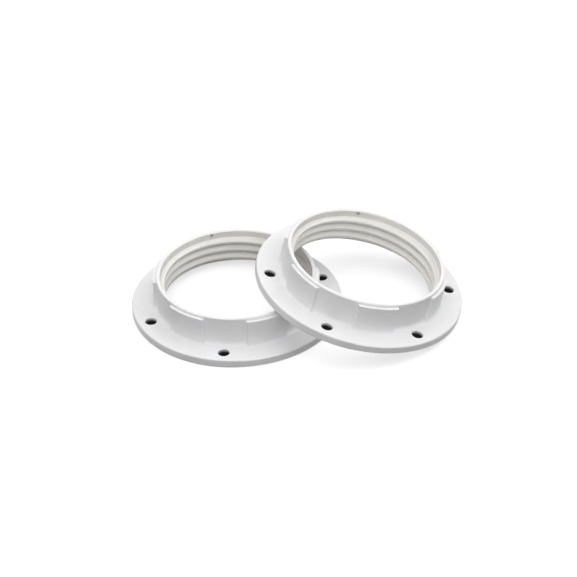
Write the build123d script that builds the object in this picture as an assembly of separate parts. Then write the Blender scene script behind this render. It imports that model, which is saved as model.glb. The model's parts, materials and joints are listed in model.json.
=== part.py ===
from build123d import *
import math
import os

# A pair of moulded plastic shade rings for an E27 lampholder. Each ring is one moulding: a flat flange
# with six fixing holes, a short collar with the 40 x 2.5 mm barrel thread inside it, and six shallow
# grip pads round the outside of the collar. The first ring lies flat. The second leans on its rim.

# Driving dimensions, in millimetres and degrees.
flange_radius = 28.5
flange_height = 2.4
plate_thickness = 1.0
skirt_width = 1.4
ring_height = 11.0
collar_radius = 21.7
collar_cove = 1.2
rim_bore_radius = 20.6
rim_band_height = 1.95
edge_round = 0.4
rim_round = 0.3

thread_pitch = 2.5
thread_root_radius = 20.3
thread_crest_radius = 19.5
thread_crest_width = 0.5
thread_shoulder_radius = 19.8
thread_shoulder_width = 1.25
thread_base_width = 2.3
thread_turns = 4
thread_start_angle = 20.0
lead_in_drop = 0.6
foot_bore_radius = 22.5
foot_taper_slope = 0.75
foot_land_width = 0.7

hole_count = 6
hole_radius = 1.6
hole_circle_radius = 25.0
boss_wall = 0.85

pad_arc = 30.0
pad_rise = 0.9
pad_cove = 0.8
pad_ledge_drop = 0.7
pad_end_slope = 0.4
pad_end_round = 0.2

gate_mark_radius = 0.45
gate_mark_depth = 0.4
gate_mark_drop = 0.75
gate_mark_angle = 87.0

lying_hole_angle = 21.5
leaning_hole_angle = 13.0
lean_angle = 13.95
lean_azimuth = -5.6
resting_gap = 0.03

# Sizes that follow from the driving dimensions.
pad_radius = collar_radius + pad_rise
pad_top = ring_height - pad_ledge_drop
channel_inner_radius = foot_bore_radius + foot_land_width
channel_outer_radius = flange_radius - skirt_width
channel_top = flange_height - plate_thickness
foot_taper_top = foot_taper_slope * (foot_bore_radius - thread_root_radius)
crest_foot = foot_taper_slope * (foot_bore_radius - thread_crest_radius)
rim_band_bottom = ring_height - rim_band_height
embed = 0.2
bore_draft = 0.05


def turned(face):
    """Turn a section, drawn as radius along X and height along Y, round the ring's axis."""
    return revolve(Plane.XZ * face, Axis.Z, 360)


def rounded(face, corners):
    """Round each named corner of a section by its own radius."""
    for (radius, height), round_radius in corners:
        corner = face.vertices().sort_by_distance((radius, height, 0))[0]
        face = fillet(corner, round_radius)
    return face


def moulded_body():
    """The flange, its hollow underside and the plain collar, as one turned section."""
    outline = Polyline(
        (foot_bore_radius, 0),
        (channel_inner_radius, 0),
        (channel_inner_radius, channel_top),
        (channel_outer_radius, channel_top),
        (channel_outer_radius, 0),
        (flange_radius, 0),
        (flange_radius, flange_height),
        (collar_radius, flange_height),
        (collar_radius, ring_height),
        (rim_bore_radius, ring_height),
        (rim_bore_radius, rim_band_bottom),
        (thread_root_radius, rim_band_bottom - (rim_bore_radius - thread_root_radius)),
        (thread_root_radius, foot_taper_top),
        close=True,
    )
    corners = [
        ((flange_radius, flange_height), edge_round),
        ((flange_radius, 0), edge_round),
        ((collar_radius, flange_height), collar_cove),
        ((collar_radius, ring_height), rim_round),
        ((rim_bore_radius, ring_height), rim_round),
        ((channel_inner_radius, channel_top), edge_round),
        ((channel_outer_radius, channel_top), edge_round),
    ]
    return turned(rounded(make_face(outline), corners))


def pad_wedge():
    """The space between a pad's two end walls, which slope in a little from the collar outwards."""
    half = math.radians(pad_arc / 2)
    across, along = math.cos(half), math.sin(half)
    run = (across + pad_end_slope * along, along - pad_end_slope * across)
    inner = (collar_radius * across - run[0], collar_radius * along - run[1])
    outer = (collar_radius * across + 5 * run[0], collar_radius * along + 5 * run[1])
    outline = Polyline(inner, outer, (outer[0], -outer[1]), (inner[0], -inner[1]), close=True)
    return extrude(make_face(outline), ring_height)


def grip_pads(hole_angle):
    """Six raised pads on the collar, each midway between two fixing holes."""
    outline = Polyline(
        (collar_radius - embed, flange_height - embed),
        (pad_radius + pad_cove, flange_height - embed),
        (pad_radius + pad_cove, flange_height),
        (pad_radius, flange_height),
        (pad_radius, pad_top),
        (collar_radius - embed, pad_top),
        close=True,
    )
    section = rounded(make_face(outline), [((pad_radius, flange_height), pad_cove)])
    step = 360 / hole_count
    band = Rot(0, 0, -step / 2) * revolve(Plane.XZ * section, Axis.Z, step)
    pad = band & pad_wedge()
    corners = pad.edges().filter_by(Axis.Z).group_by(SortBy.LENGTH)[1]
    pad = fillet(corners, pad_end_round)
    return [Rot(0, 0, hole_angle + step * (index + 0.5)) * pad for index in range(hole_count)]


def thread_ridge(hole_angle):
    """The helical ridge of the barrel thread, turn by turn, longer and higher than its final form."""
    steps = [
        (thread_root_radius + embed, thread_base_width / 2),
        (thread_root_radius, thread_base_width / 2),
        (thread_shoulder_radius, thread_shoulder_width / 2),
        (thread_crest_radius, thread_crest_width / 2),
        (thread_crest_radius - embed, thread_crest_width / 2),
    ]
    lower = [(radius - thread_root_radius, -half) for radius, half in steps]
    upper = [(radius - thread_root_radius, half) for radius, half in reversed(steps)]
    path = Helix(thread_pitch, thread_pitch, thread_root_radius)
    start = Plane(origin=path @ 0, x_dir=(1, 0, 0), z_dir=path % 0)
    outline = Polyline(*lower, *upper, close=True)
    turn = sweep(start * make_face(outline), path=path, is_frenet=True)
    phase = Rot(0, 0, hole_angle + thread_start_angle)
    return [phase * Pos(0, 0, thread_pitch * index) * turn for index in range(thread_turns)]


def bore_space():
    """The clear space inside the ring: it trims the ridge to its crest, its lead-in and its foot."""
    below = -thread_pitch
    outline = Polyline(
        (0, below),
        (foot_bore_radius - below / foot_taper_slope, below),
        (thread_crest_radius, crest_foot),
        (thread_crest_radius, rim_band_bottom - lead_in_drop),
        (rim_bore_radius, rim_band_bottom),
        (rim_bore_radius - bore_draft, ring_height + thread_pitch),
        (0, ring_height + thread_pitch),
        close=True,
    )
    return turned(make_face(outline))


def around_holes(piece, hole_angle, height):
    """The same piece at each fixing hole, standing at the given height."""
    step = 360 / hole_count
    return [
        Rot(0, 0, hole_angle + step * index) * Pos(hole_circle_radius, 0, height) * piece
        for index in range(hole_count)
    ]


def hole_bosses(hole_angle):
    """Round bosses across the hollow underside, so that each fixing hole has a full-depth wall."""
    boss = extrude(Circle(hole_radius + boss_wall), channel_top + embed)
    return around_holes(boss, hole_angle, 0)


def fixing_holes(hole_angle):
    """Six plain holes through the flange and its bosses."""
    drill = extrude(Circle(hole_radius), flange_height + 2 * embed)
    return around_holes(drill, hole_angle, -embed)


def gate_mark(hole_angle):
    """A small dimple in the plain band under the rim, left where the plastic entered the mould."""
    place = Rot(0, 0, hole_angle + gate_mark_angle) * Pos(rim_bore_radius, 0, ring_height - gate_mark_drop)
    tip = Cone(gate_mark_radius, gate_mark_radius / 2, 2 * gate_mark_depth)
    return place * Rot(0, 90, 0) * tip


def shade_ring(hole_angle):
    """One whole ring, standing on its foot with its axis on Z."""
    ring = moulded_body() + hole_bosses(hole_angle) + grip_pads(hole_angle) + thread_ridge(hole_angle)
    ring = ring - bore_space() - fixing_holes(hole_angle) - gate_mark(hole_angle)
    return ring.solid()


def leaning_place():
    """Where the second ring sits: its flange edge on the ground, its foot on the first ring's rim."""
    tilt = math.radians(lean_angle)
    height = ring_height + resting_gap
    along = flange_radius - height / math.sin(tilt)
    drop = (height - flange_radius * math.sin(tilt)) / math.tan(tilt)
    spacing = drop + math.sqrt(collar_radius**2 + along**2 - foot_bore_radius**2)
    centre = Pos(spacing, 0, flange_radius * math.sin(tilt))
    return Rot(0, 0, lean_azimuth) * centre * Rot(0, lean_angle, 0)


lying_ring = shade_ring(lying_hole_angle)
leaning_ring = leaning_place() * shade_ring(leaning_hole_angle)

# The origin is on the ground, at the middle of the pair's footprint.
footprint = lying_ring.bounding_box().add(leaning_ring.bounding_box())
to_origin = Pos(-footprint.center().X, -footprint.center().Y, -footprint.min.Z)
lying_ring = to_origin * lying_ring
leaning_ring = to_origin * leaning_ring

os.makedirs("parts", exist_ok=True)
export_step(lying_ring, "parts/lying_ring.step")
export_step(leaning_ring, "parts/leaning_ring.step")
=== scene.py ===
import bpy
import json
import math
from mathutils import Euler, Matrix, Vector


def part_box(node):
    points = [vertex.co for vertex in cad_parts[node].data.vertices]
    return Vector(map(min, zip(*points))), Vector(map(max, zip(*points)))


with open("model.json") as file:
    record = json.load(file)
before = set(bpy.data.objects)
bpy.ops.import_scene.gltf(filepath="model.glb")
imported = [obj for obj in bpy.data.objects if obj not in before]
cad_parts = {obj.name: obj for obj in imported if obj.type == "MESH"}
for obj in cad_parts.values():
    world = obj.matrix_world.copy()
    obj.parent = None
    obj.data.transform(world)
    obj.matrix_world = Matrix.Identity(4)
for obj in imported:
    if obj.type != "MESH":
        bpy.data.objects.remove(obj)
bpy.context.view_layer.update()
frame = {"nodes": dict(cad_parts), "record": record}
mounts = {mount["name"]: mount for mount in frame["record"]["mounts"]}
print("frame loaded")


# an sRGB hex colour as the linear colour that shaders take
def linearColour(hexCode):
    parts = [int(hexCode[i:i + 2], 16) / 255 for i in (1, 3, 5)]
    linear = [c / 12.92 if c <= 0.04045 else ((c + 0.055) / 1.055) ** 2.4 for c in parts]
    return (*linear, 1.0)


# adds one node with its settings and links, where an input goes by its name or its number
def addNode(tree, kind, settings=None, links=None):
    node = tree.nodes.new(kind)
    for name, value in (settings or {}).items():
        if isinstance(name, int) or name in node.inputs:
            node.inputs[name].default_value = value
        else:
            setattr(node, name, value)
    for name, socket in (links or {}).items():
        tree.links.new(socket, node.inputs[name])
    return node


# White thermoplastic polyester (PBT), injection-moulded in a satin mould. It gives an even, slightly
# translucent white with a soft sheen, faint flow clouds, and a painted ivory cast in the bore that stands
# in for warm bounced light.
shadePlastic = {
    "shellWhite": "#F0F0F1",
    # painted bounce light: an ivory tint for the inside of the bore
    "paintedBoreBounce": "#F6F4EF",
    "flowTone": "#E2E2E1",
    # painted shade for the thread's roots
    "paintedRootShade": "#DAD7D0",
    "weldTone": "#DCDCDC",
    "gateGrey": "#B4B3AF",
    # painted shade for the fixing holes' walls
    "paintedHoleShade": "#050505",
    "roughness": 0.34,
    "roughnessSwing": 0.06,
    "ior": 1.55,
    "subsurface": 0.15,
    "scatterDepth": 0.0009,
    "scatterReach": (1.0, 0.8, 0.6),  # red light goes furthest into the plastic
    "flowSize": 0.011,  # a flow cloud is about 11 mm across
    "flowDetail": 3.0,
    "flowSwirl": 0.8,
    "flowRange": (0.35, 0.75),
    "sheenRange": (0.3, 0.7),
    "grainSize": 0.0004,  # the mould's satin grain is near 0.05 mm, drawn at 0.4 mm so that it shows
    "grainDetail": 2.0,
    "grainHeight": 0.0000025,
    "sinkSize": 0.007,
    "sinkDetail": 1.0,
    "sinkHeight": 0.00001,
}

# how strongly each tone covers the ones under it, from the lowest up
toneShares = {"flowTone": 0.45, "paintedRootShade": 0.35, "weldTone": 0.5, "gateGrey": 0.8, "paintedHoleShade": 1.0}

# places on one ring, in metres from the middle of its foot
ringPlaces = {
    "flangeTop": 0.0024,
    "boreEdge": 0.0213,
    "boreBlend": 0.0006,
    "rootFrom": 0.0198,
    "rootTo": 0.0203,
    "rootMargin": 0.0001,
    "threadTop": 0.009,
    "gateRadius": 0.0206,
    "gateHeight": 0.01025,
    "gateAngle": 87,
    "gateInner": 0.0004,
    "gateOuter": 0.0007,
    "weldWidth": 0.00018,
    "holeMargin": 0.00003,
    "holeShadeDepth": 0.0011,
}

# degrees from a ring's own X axis to its first fixing hole
holeAngles = {"lying_ring": 21.5, "leaning_ring": 13.0}


# the ring's own coordinates, with its foot at zero and its axis along Z, and the distance from that axis
def ringCoordinates(tree, holes):
    axis = Vector(holes["axis"])
    centre = Vector(holes["pos_m"]) - axis * ringPlaces["flangeTop"]
    lean = Euler((0, math.acos(min(axis.z, 1)), math.atan2(axis.y, axis.x)))
    objectPlace = addNode(tree, "ShaderNodeTexCoord")
    local = addNode(tree, "ShaderNodeMapping", {
        "vector_type": "TEXTURE", "Location": centre, "Rotation": lean,
    }, {"Vector": objectPlace.outputs["Object"]})
    split = addNode(tree, "ShaderNodeSeparateXYZ", links={0: local.outputs[0]})
    flat = addNode(tree, "ShaderNodeCombineXYZ", links={0: split.outputs[0], 1: split.outputs[1]})
    radius = addNode(tree, "ShaderNodeVectorMath", {"operation": "LENGTH"}, {0: flat.outputs[0]})
    return local.outputs[0], split, radius.outputs[1]


# each point turned back to the sector of the first hole: its distance out, to the side and from the hole
def holeCoordinates(tree, split, radius, holes, holeAngle):
    holeStep = math.tau / holes["dims"]["count"]
    holeCircle = holes["dims"]["pcd_mm"] / 2000
    angle = addNode(tree, "ShaderNodeMath", {"operation": "ARCTAN2"},
                    {0: split.outputs[1], 1: split.outputs[0]})
    fromHole = addNode(tree, "ShaderNodeMath", {"operation": "SUBTRACT", 1: math.radians(holeAngle)},
                       {0: angle.outputs[0]})
    folded = addNode(tree, "ShaderNodeMath", {"operation": "WRAP", 1: holeStep / 2, 2: -holeStep / 2},
                     {0: fromHole.outputs[0]})
    cosine = addNode(tree, "ShaderNodeMath", {"operation": "COSINE"}, {0: folded.outputs[0]})
    sine = addNode(tree, "ShaderNodeMath", {"operation": "SINE"}, {0: folded.outputs[0]})
    outward = addNode(tree, "ShaderNodeMath", {"operation": "MULTIPLY"}, {0: radius, 1: cosine.outputs[0]})
    sideways = addNode(tree, "ShaderNodeMath", {"operation": "MULTIPLY"}, {0: radius, 1: sine.outputs[0]})
    sector = addNode(tree, "ShaderNodeCombineXYZ", links={0: outward.outputs[0], 1: sideways.outputs[0]})
    distance = addNode(tree, "ShaderNodeVectorMath", {"operation": "DISTANCE", 1: (holeCircle, 0, 0)},
                       {0: sector.outputs[0]})
    return outward.outputs[0], sideways.outputs[0], distance.outputs[1]


# painted shade in the thread's roots
def rootShadeMask(tree, radius, height):
    root = addNode(tree, "ShaderNodeMapRange", {
        "interpolation_type": "SMOOTHSTEP",
        "From Min": ringPlaces["rootFrom"], "From Max": ringPlaces["rootTo"],
    }, {"Value": radius})
    inThread = addNode(tree, "ShaderNodeMath", {"operation": "LESS_THAN", 1: ringPlaces["threadTop"]},
                       {0: height})
    inBore = addNode(tree, "ShaderNodeMath", {
        "operation": "LESS_THAN", 1: ringPlaces["rootTo"] + ringPlaces["rootMargin"],
    }, {0: radius})
    onThread = addNode(tree, "ShaderNodeMath", {"operation": "MULTIPLY"},
                       {0: inThread.outputs[0], 1: inBore.outputs[0]})
    return addNode(tree, "ShaderNodeMath", {"operation": "MULTIPLY"},
                   {0: root.outputs[0], 1: onThread.outputs[0]})


# the fine line outside each hole, where the plastic met again behind the mould's pin
def weldMask(tree, outward, sideways, holes):
    offLine = addNode(tree, "ShaderNodeMath", {"operation": "ABSOLUTE"}, {0: sideways})
    line = addNode(tree, "ShaderNodeMapRange", {
        "interpolation_type": "SMOOTHSTEP", "From Min": ringPlaces["weldWidth"], "From Max": 0,
    }, {"Value": offLine.outputs[0]})
    outside = addNode(tree, "ShaderNodeMath", {
        "operation": "GREATER_THAN", 1: holes["dims"]["pcd_mm"] / 2000,
    }, {0: outward})
    return addNode(tree, "ShaderNodeMath", {"operation": "MULTIPLY"},
                   {0: line.outputs[0], 1: outside.outputs[0]})


# the scar that the mould's gate left in the rim
def gateMask(tree, local, holeAngle):
    turn = math.radians(holeAngle + ringPlaces["gateAngle"])
    radius = ringPlaces["gateRadius"]
    gatePlace = (radius * math.cos(turn), radius * math.sin(turn), ringPlaces["gateHeight"])
    distance = addNode(tree, "ShaderNodeVectorMath", {"operation": "DISTANCE", 1: gatePlace}, {0: local})
    return addNode(tree, "ShaderNodeMapRange", {
        "interpolation_type": "SMOOTHSTEP",
        "From Min": ringPlaces["gateOuter"], "From Max": ringPlaces["gateInner"],
    }, {"Value": distance.outputs[1]})


# painted shade on the holes' walls, darker with depth
def holeShadeMask(tree, distance, height, holes):
    holeRadius = holes["dims"]["hole_r_mm"] / 1000
    inHole = addNode(tree, "ShaderNodeMath", {
        "operation": "LESS_THAN", 1: holeRadius + ringPlaces["holeMargin"],
    }, {0: distance})
    depth = addNode(tree, "ShaderNodeMapRange", {
        "interpolation_type": "SMOOTHSTEP", "From Min": ringPlaces["flangeTop"],
        "From Max": ringPlaces["flangeTop"] - ringPlaces["holeShadeDepth"],
    }, {"Value": height})
    return addNode(tree, "ShaderNodeMath", {"operation": "MULTIPLY"},
                   {0: inHole.outputs[0], 1: depth.outputs[0]})


# satin grain over slight sink waves
def satinBump(tree, local):
    grain = addNode(tree, "ShaderNodeTexNoise", {
        "Scale": 1 / shadePlastic["grainSize"], "Detail": shadePlastic["grainDetail"],
    }, {"Vector": local})
    sink = addNode(tree, "ShaderNodeTexNoise", {
        "Scale": 1 / shadePlastic["sinkSize"], "Detail": shadePlastic["sinkDetail"],
    }, {"Vector": local})
    sinkBump = addNode(tree, "ShaderNodeBump", {"Distance": shadePlastic["sinkHeight"]},
                       {"Height": sink.outputs[0]})
    return addNode(tree, "ShaderNodeBump", {"Distance": shadePlastic["grainHeight"]},
                   {"Height": grain.outputs[0], "Normal": sinkBump.outputs[0]})


def makeShadePlastic(name, holes, holeAngle):
    material = bpy.data.materials.new(name)
    material.use_nodes = True
    tree = material.node_tree
    tree.nodes.clear()
    local, split, radius = ringCoordinates(tree, holes)
    height = split.outputs[2]
    outward, sideways, distance = holeCoordinates(tree, split, radius, holes, holeAngle)

    # clouds of pigment left by the flow
    clouds = addNode(tree, "ShaderNodeTexNoise", {
        "Scale": 1 / shadePlastic["flowSize"], "Detail": shadePlastic["flowDetail"],
        "Distortion": shadePlastic["flowSwirl"],
    }, {"Vector": local})
    cloudLow, cloudHigh = shadePlastic["flowRange"]
    masks = {
        "flowTone": addNode(tree, "ShaderNodeMapRange", {"From Min": cloudLow, "From Max": cloudHigh},
                            {"Value": clouds.outputs[0]}),
        "paintedRootShade": rootShadeMask(tree, radius, height),
        "weldTone": weldMask(tree, outward, sideways, holes),
        "gateGrey": gateMask(tree, local, holeAngle),
        "paintedHoleShade": holeShadeMask(tree, distance, height, holes),
    }

    # painted warm bounce light inside the bore, as an ivory tint, with the other tones over it
    inside = addNode(tree, "ShaderNodeMapRange", {
        "interpolation_type": "SMOOTHSTEP", "From Min": ringPlaces["boreEdge"],
        "From Max": ringPlaces["boreEdge"] - ringPlaces["boreBlend"],
    }, {"Value": radius})
    colour = addNode(tree, "ShaderNodeMix", {
        "data_type": "RGBA",
        6: linearColour(shadePlastic["shellWhite"]), 7: linearColour(shadePlastic["paintedBoreBounce"]),
    }, {0: inside.outputs[0]})
    for tone, share in toneShares.items():
        weight = addNode(tree, "ShaderNodeMath", {"operation": "MULTIPLY", 1: share},
                         {0: masks[tone].outputs[0]})
        colour = addNode(tree, "ShaderNodeMix", {"data_type": "RGBA", 7: linearColour(shadePlastic[tone])},
                         {0: weight.outputs[0], 6: colour.outputs[2]})

    # the sheen follows the clouds, and the holes' walls have none
    sheenLow, sheenHigh = shadePlastic["sheenRange"]
    sheen = addNode(tree, "ShaderNodeMapRange", {
        "From Min": sheenLow, "From Max": sheenHigh,
        "To Min": shadePlastic["roughness"] - shadePlastic["roughnessSwing"],
        "To Max": shadePlastic["roughness"] + shadePlastic["roughnessSwing"],
    }, {"Value": clouds.outputs[0]})
    roughness = addNode(tree, "ShaderNodeMath", {"operation": "MAXIMUM"},
                        {0: sheen.outputs[0], 1: masks["paintedHoleShade"].outputs[0]})
    shader = addNode(tree, "ShaderNodeBsdfPrincipled", {
        "IOR": shadePlastic["ior"],
        "Subsurface Weight": shadePlastic["subsurface"],
        "Subsurface Scale": shadePlastic["scatterDepth"],
        "Subsurface Radius": shadePlastic["scatterReach"],
    }, {
        "Base Color": colour.outputs[2],
        "Roughness": roughness.outputs[0],
        "Normal": satinBump(tree, local).outputs[0],
    })
    addNode(tree, "ShaderNodeOutputMaterial", links={"Surface": shader.outputs[0]})
    return material


for nodeName, holeAngle in holeAngles.items():
    place = nodeName.split("_")[0]
    ringPlastic = makeShadePlastic("mouldedPbt_" + place, mounts[place + "_fixing_holes"], holeAngle)
    for slot in frame["nodes"][nodeName].material_slots:
        slot.material = ringPlastic
print("rings finished in moulded plastic")


# what the camera sees, straight on or in a gloss or through glass, apart from what only lights the rings
def seenDirectly(tree):
    path = addNode(tree, "ShaderNodeLightPath")
    mirrored = addNode(tree, "ShaderNodeMath", {"operation": "MAXIMUM"},
                       {0: path.outputs["Is Camera Ray"], 1: path.outputs["Is Glossy Ray"]})
    seen = addNode(tree, "ShaderNodeMath", {"operation": "MAXIMUM"},
                   {0: mirrored.outputs[0], 1: path.outputs["Is Transmission Ray"]})
    return seen.outputs[0]


# the floor shows white, keeps the rings' shadow, and throws little light back up at them
floor = {"size": 3.0, "shown": "#C8C8C8", "glow": 0.6, "bounce": "#303030"}


def makeFloor():
    bpy.ops.mesh.primitive_plane_add(size=floor["size"])
    sheet = bpy.context.object
    sheet.name = "floor"
    material = bpy.data.materials.new("palePaper")
    material.use_nodes = True
    tree = material.node_tree
    tree.nodes.clear()
    shown = addNode(tree, "ShaderNodeBsdfDiffuse", {"Color": linearColour(floor["shown"])})
    glow = addNode(tree, "ShaderNodeEmission", {"Strength": floor["glow"]})
    bright = addNode(tree, "ShaderNodeAddShader", links={0: shown.outputs[0], 1: glow.outputs[0]})
    bounce = addNode(tree, "ShaderNodeBsdfDiffuse", {"Color": linearColour(floor["bounce"])})
    pick = addNode(tree, "ShaderNodeMixShader",
                   links={0: seenDirectly(tree), 1: bounce.outputs[0], 2: bright.outputs[0]})
    addNode(tree, "ShaderNodeOutputMaterial", links={"Surface": pick.outputs[0]})
    sheet.data.materials.append(material)


# the studio is a white dome, brighter overhead than at its rim
studio = {"rim": 0.1, "overhead": 1.1, "white": 1.0}


def makeWorld():
    world = bpy.data.worlds.new("paleStudio")
    bpy.context.scene.world = world
    world.use_nodes = True
    tree = world.node_tree
    tree.nodes.clear()
    direction = addNode(tree, "ShaderNodeTexCoord")
    up = addNode(tree, "ShaderNodeSeparateXYZ", links={0: direction.outputs["Generated"]})
    dome = addNode(tree, "ShaderNodeMapRange", {"To Min": studio["rim"], "To Max": studio["overhead"]},
                   {"Value": up.outputs[2]})
    soft = addNode(tree, "ShaderNodeBackground", {"Color": (1, 1, 1, 1)}, {"Strength": dome.outputs[0]})
    white = addNode(tree, "ShaderNodeBackground", {"Color": (1, 1, 1, 1), "Strength": studio["white"]})
    pick = addNode(tree, "ShaderNodeMixShader",
                   links={0: seenDirectly(tree), 1: soft.outputs[0], 2: white.outputs[0]})
    addNode(tree, "ShaderNodeOutputWorld", links={"Surface": pick.outputs[0]})


# a wide softbox overhead, and weak ones low in front and on the right
lamps = {
    "topSoftbox": {"place": (0.12, 0.05, 0.9), "aim": (0, 0, 0), "size": 1.6, "power": 2.8},
    "frontFill": {"place": (-0.2, -0.95, 0.5), "aim": (0, 0, 0), "size": 1.0, "power": 2.0},
    "rightFill": {"place": (0.75, 0, 0.65), "aim": (0, 0, 0), "size": 0.8, "power": 1.7},
}


def makeLamp(name, place, aim, size, power):
    data = bpy.data.lights.new(name, "AREA")
    data.size = size
    data.energy = power
    lamp = bpy.data.objects.new(name, data)
    bpy.context.collection.objects.link(lamp)
    lamp.location = place
    lamp.rotation_euler = (Vector(aim) - Vector(place)).to_track_quat("-Z", "Y").to_euler()


# a long lens, looking down at the lying ring, which sits left of the view's middle
cameraView = {
    "lens": 249.6,
    "elevation": 34.77,
    "roll": -1.87,
    "across": 0.01395,
    "up": 0.00488,
    "distance": 1.0885,
    "clipEnd": 10,
}


def makeCamera():
    data = bpy.data.cameras.new("camera")
    data.lens = cameraView["lens"]
    data.clip_end = cameraView["clipEnd"]
    camera = bpy.data.objects.new("camera", data)
    bpy.context.collection.objects.link(camera)
    low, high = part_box("lying_ring")
    target = Vector(((low.x + high.x) / 2, (low.y + high.y) / 2, 0))
    turn = Matrix.Rotation(math.radians(90 - cameraView["elevation"]), 4, "X")
    turn = turn @ Matrix.Rotation(math.radians(cameraView["roll"]), 4, "Z")
    offset = turn.to_3x3() @ Vector((cameraView["across"], cameraView["up"], cameraView["distance"]))
    camera.matrix_world = Matrix.Translation(target + offset) @ turn
    bpy.context.scene.camera = camera


makeFloor()
makeWorld()
for lampName, lampSettings in lamps.items():
    makeLamp(lampName, **lampSettings)
makeCamera()
bpy.context.scene.view_settings.view_transform = "Standard"
print("floor, light and camera ready")
